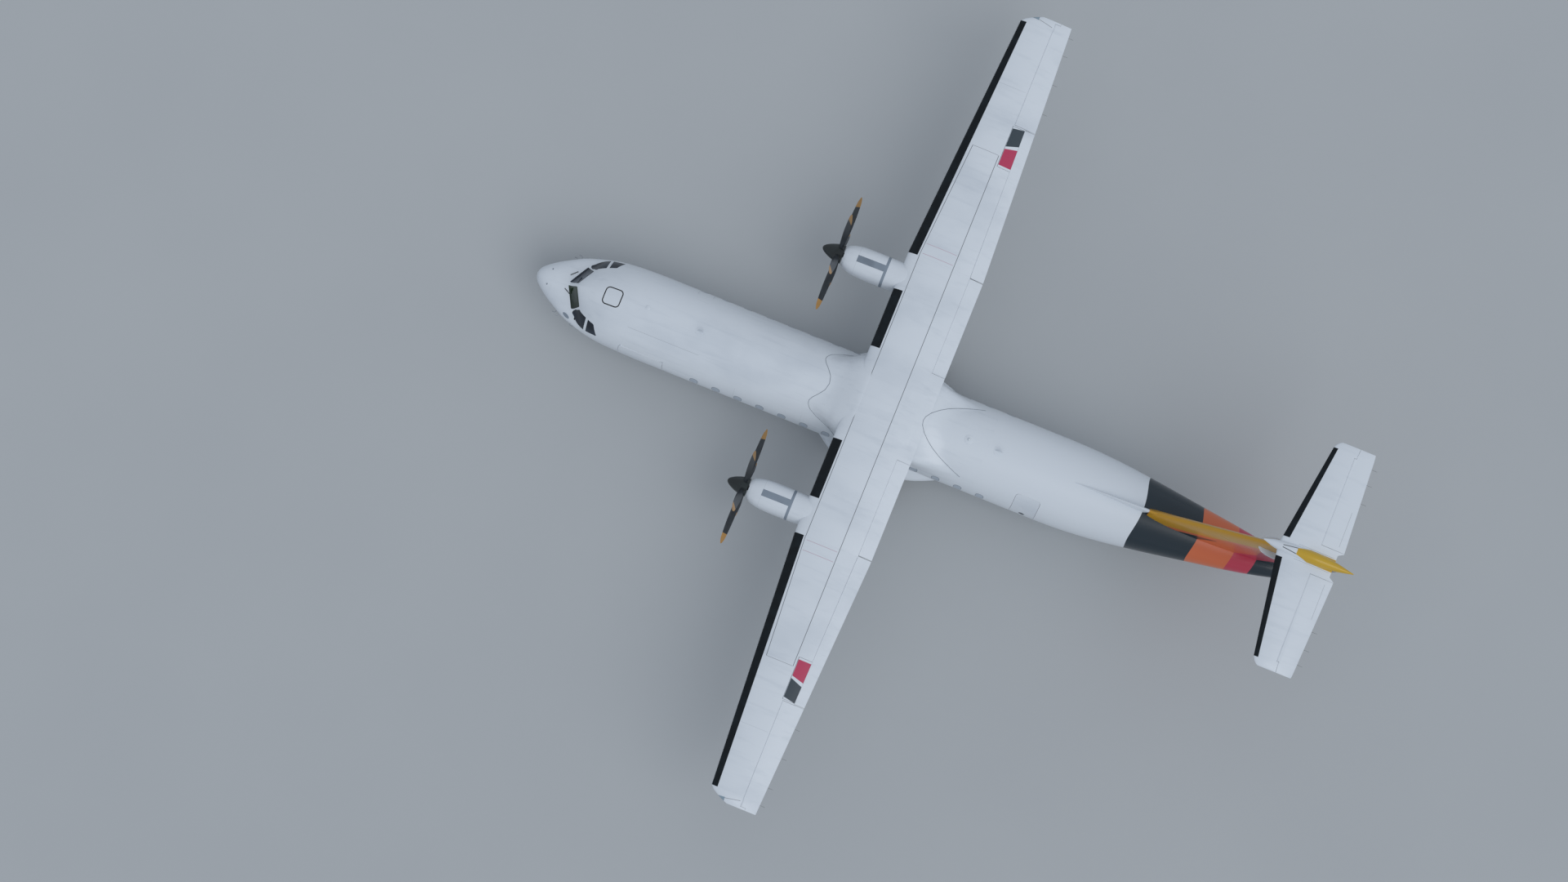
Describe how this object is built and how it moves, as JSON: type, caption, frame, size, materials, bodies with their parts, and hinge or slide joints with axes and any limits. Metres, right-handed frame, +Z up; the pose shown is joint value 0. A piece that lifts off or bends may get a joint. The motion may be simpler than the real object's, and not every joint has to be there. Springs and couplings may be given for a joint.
{
  "type": "twin turboprop airliner",
  "caption": "High-wing twin-turboprop regional airliner with a T-tail and gear in belly fairings, parked, with turning propellers and wheels, steering, doors and flight controls.",
  "frame": {"origin": "on the ground under the middle of the aircraft's length and span", "axes": "+X to port (the aircraft's left), +Y aft along the fuselage, +Z up"},
  "size_m": [27.05, 27.166, 7.65],
  "materials": {
    "painted_skin": "gloss",
    "control_skin": "gloss",
    "spoiler_paint": "gloss",
    "fin_paint": "gloss",
    "rudder_paint": "gloss",
    "pane": "gloss",
    "propeller_blade": "satin",
    "spinner_paint": "gloss",
    "engine_metal": "satin",
    "exhaust_steel": "satin",
    "gear_steel": "satin",
    "wheel_alloy": "satin",
    "tyre_rubber": "matte"
  },
  "bodies": {
    "airframe": {"radome": "painted_skin", "nose_section": "painted_skin", "fuselage_centre": "painted_skin", "fuselage_rear": "painted_skin", "roof_hatch": "painted_skin", "service_door": "painted_skin", "emergency_exit": "painted_skin", "belly_fairing": "painted_skin", "wing_fairing": "painted_skin", "wing_centre": "painted_skin", "wing_left": "painted_skin", "wing_right": "painted_skin", "nacelle_cowl_left": "painted_skin", "nacelle_cowl_right": "painted_skin", "nacelle_tail_left": "painted_skin", "nacelle_tail_right": "painted_skin", "tailplane": "painted_skin", "nose_gear_door_left": "painted_skin", "nose_gear_door_right": "painted_skin", "fin": "fin_paint", "windshield_left": "pane", "windshield_right": "pane", "side_window_left": "pane", "side_window_right": "pane", "engine_left": "engine_metal", "engine_right": "engine_metal", "exhaust_left": "exhaust_steel", "exhaust_right": "exhaust_steel", "nose_leg": "gear_steel", "main_leg_left": "gear_steel", "main_leg_right": "gear_steel"},
    "cargo_door": {"cargo_door": "painted_skin"},
    "passenger_door": {"passenger_door": "painted_skin"},
    "flap_inner_left": {"flap_inner_left": "control_skin"},
    "flap_inner_right": {"flap_inner_right": "control_skin"},
    "flap_outer_left": {"flap_outer_left": "control_skin"},
    "flap_outer_right": {"flap_outer_right": "control_skin"},
    "aileron_left": {"aileron_left": "control_skin"},
    "aileron_right": {"aileron_right": "control_skin"},
    "spoiler_left": {"spoiler_left": "spoiler_paint"},
    "spoiler_right": {"spoiler_right": "spoiler_paint"},
    "propeller_left": {"propeller_left": "propeller_blade", "spinner_left": "spinner_paint"},
    "propeller_right": {"propeller_right": "propeller_blade", "spinner_right": "spinner_paint"},
    "rudder": {"rudder": "rudder_paint"},
    "elevator_left": {"elevator_left": "control_skin"},
    "elevator_right": {"elevator_right": "control_skin"},
    "nose_steering": {"nose_fork": "gear_steel"},
    "nose_wheels": {"nose_hub": "wheel_alloy", "nose_tyre_left": "tyre_rubber", "nose_tyre_right": "tyre_rubber"},
    "main_wheels_left": {"main_hub_left": "wheel_alloy", "main_tyre_inner_left": "tyre_rubber", "main_tyre_outer_left": "tyre_rubber"},
    "main_wheels_right": {"main_hub_right": "wheel_alloy", "main_tyre_inner_right": "tyre_rubber", "main_tyre_outer_right": "tyre_rubber"}
  },
  "joints": [
    {"name": "propeller_left_spin", "type": "hinge", "parent": "airframe", "child": "propeller_left", "pos_m": [4.05, -4.713, 3.065], "axis": [0, 1, 0], "continuous": true},
    {"name": "propeller_right_spin", "type": "hinge", "parent": "airframe", "child": "propeller_right", "pos_m": [-4.05, -4.713, 3.065], "axis": [0, 1, 0], "continuous": true},
    {"name": "nose_steer", "type": "hinge", "parent": "airframe", "child": "nose_steering", "pos_m": [0, -11.403, 0.6], "axis": [0, 0, 1], "range_deg": [-60, 60]},
    {"name": "nose_wheels_spin", "type": "hinge", "parent": "nose_steering", "child": "nose_wheels", "pos_m": [0, -11.403, 0.225], "axis": [1, 0, 0], "continuous": true},
    {"name": "main_wheels_left_spin", "type": "hinge", "parent": "airframe", "child": "main_wheels_left", "pos_m": [2.05, -0.633, 0.43], "axis": [1, 0, 0], "continuous": true},
    {"name": "main_wheels_right_spin", "type": "hinge", "parent": "airframe", "child": "main_wheels_right", "pos_m": [-2.05, -0.633, 0.43], "axis": [1, 0, 0], "continuous": true},
    {"name": "rudder_swing", "type": "hinge", "parent": "airframe", "child": "rudder", "pos_m": [0, 11.507, 3.48], "axis": [0, 0.2252, 0.9743], "range_deg": [-27, 27]},
    {"name": "cargo_door_swing", "type": "hinge", "parent": "airframe", "child": "cargo_door", "pos_m": [1.276, -9.418, 2.436], "axis": [0, -1, 0], "range_deg": [0, 100]},
    {"name": "passenger_door_swing", "type": "hinge", "parent": "airframe", "child": "passenger_door", "pos_m": [1.108, 3.837, 1.112], "axis": [0, 1, 0], "range_deg": [0, 120]},
    {"name": "elevator_left", "type": "hinge", "parent": "airframe", "child": "elevator_left", "pos_m": [0.47, 12.382, 7.35], "axis": [1, 0, 0], "range_deg": [-13, 23]},
    {"name": "elevator_right", "type": "hinge", "parent": "airframe", "child": "elevator_right", "pos_m": [-0.47, 12.382, 7.35], "axis": [1, 0, 0], "range_deg": [-13, 23]},
    {"name": "aileron_left", "type": "hinge", "parent": "airframe", "child": "aileron_left", "pos_m": [9.905, -0.983, 3.69251], "axis": [0.9992, 0, 0.0408], "range_deg": [-14, 14]},
    {"name": "aileron_right", "type": "hinge", "parent": "airframe", "child": "aileron_right", "pos_m": [-9.905, -0.983, 3.69251], "axis": [0.9992, 0, -0.0408], "range_deg": [-14, 14]},
    {"name": "flap_inner_left", "type": "hinge", "parent": "airframe", "child": "flap_inner_left", "pos_m": [1.5, -0.703, 3.105], "axis": [-1, 0, 0], "range_deg": [0, 30]},
    {"name": "flap_inner_right", "type": "hinge", "parent": "airframe", "child": "flap_inner_right", "pos_m": [-1.5, -0.703, 3.105], "axis": [-1, 0, 0], "range_deg": [0, 30]},
    {"name": "flap_outer_left", "type": "hinge", "parent": "airframe", "child": "flap_outer_left", "pos_m": [4.805, -0.698, 3.12], "axis": [-0.9983, 0.0385, -0.0436], "range_deg": [0, 30]},
    {"name": "flap_outer_right", "type": "hinge", "parent": "airframe", "child": "flap_outer_right", "pos_m": [-4.805, -0.698, 3.12], "axis": [-0.9983, -0.0385, 0.0436], "range_deg": [0, 30]},
    {"name": "spoiler_left", "type": "hinge", "parent": "airframe", "child": "spoiler_left", "pos_m": [8.45, -1.034, 3.748], "axis": [0.9996, 0, 0.0297], "range_deg": [0, 57]},
    {"name": "spoiler_right", "type": "hinge", "parent": "airframe", "child": "spoiler_right", "pos_m": [-8.45, -1.034, 3.748], "axis": [0.9996, 0, -0.0297], "range_deg": [0, 57]}
  ],
  "couplings": [
    {"joint": "elevator_right", "follows": "elevator_left", "ratio": 1},
    {"joint": "aileron_right", "follows": "aileron_left", "ratio": -1},
    {"joint": "flap_inner_right", "follows": "flap_inner_left", "ratio": 1},
    {"joint": "flap_outer_left", "follows": "flap_inner_left", "ratio": 1},
    {"joint": "flap_outer_right", "follows": "flap_inner_left", "ratio": 1}
  ]
}
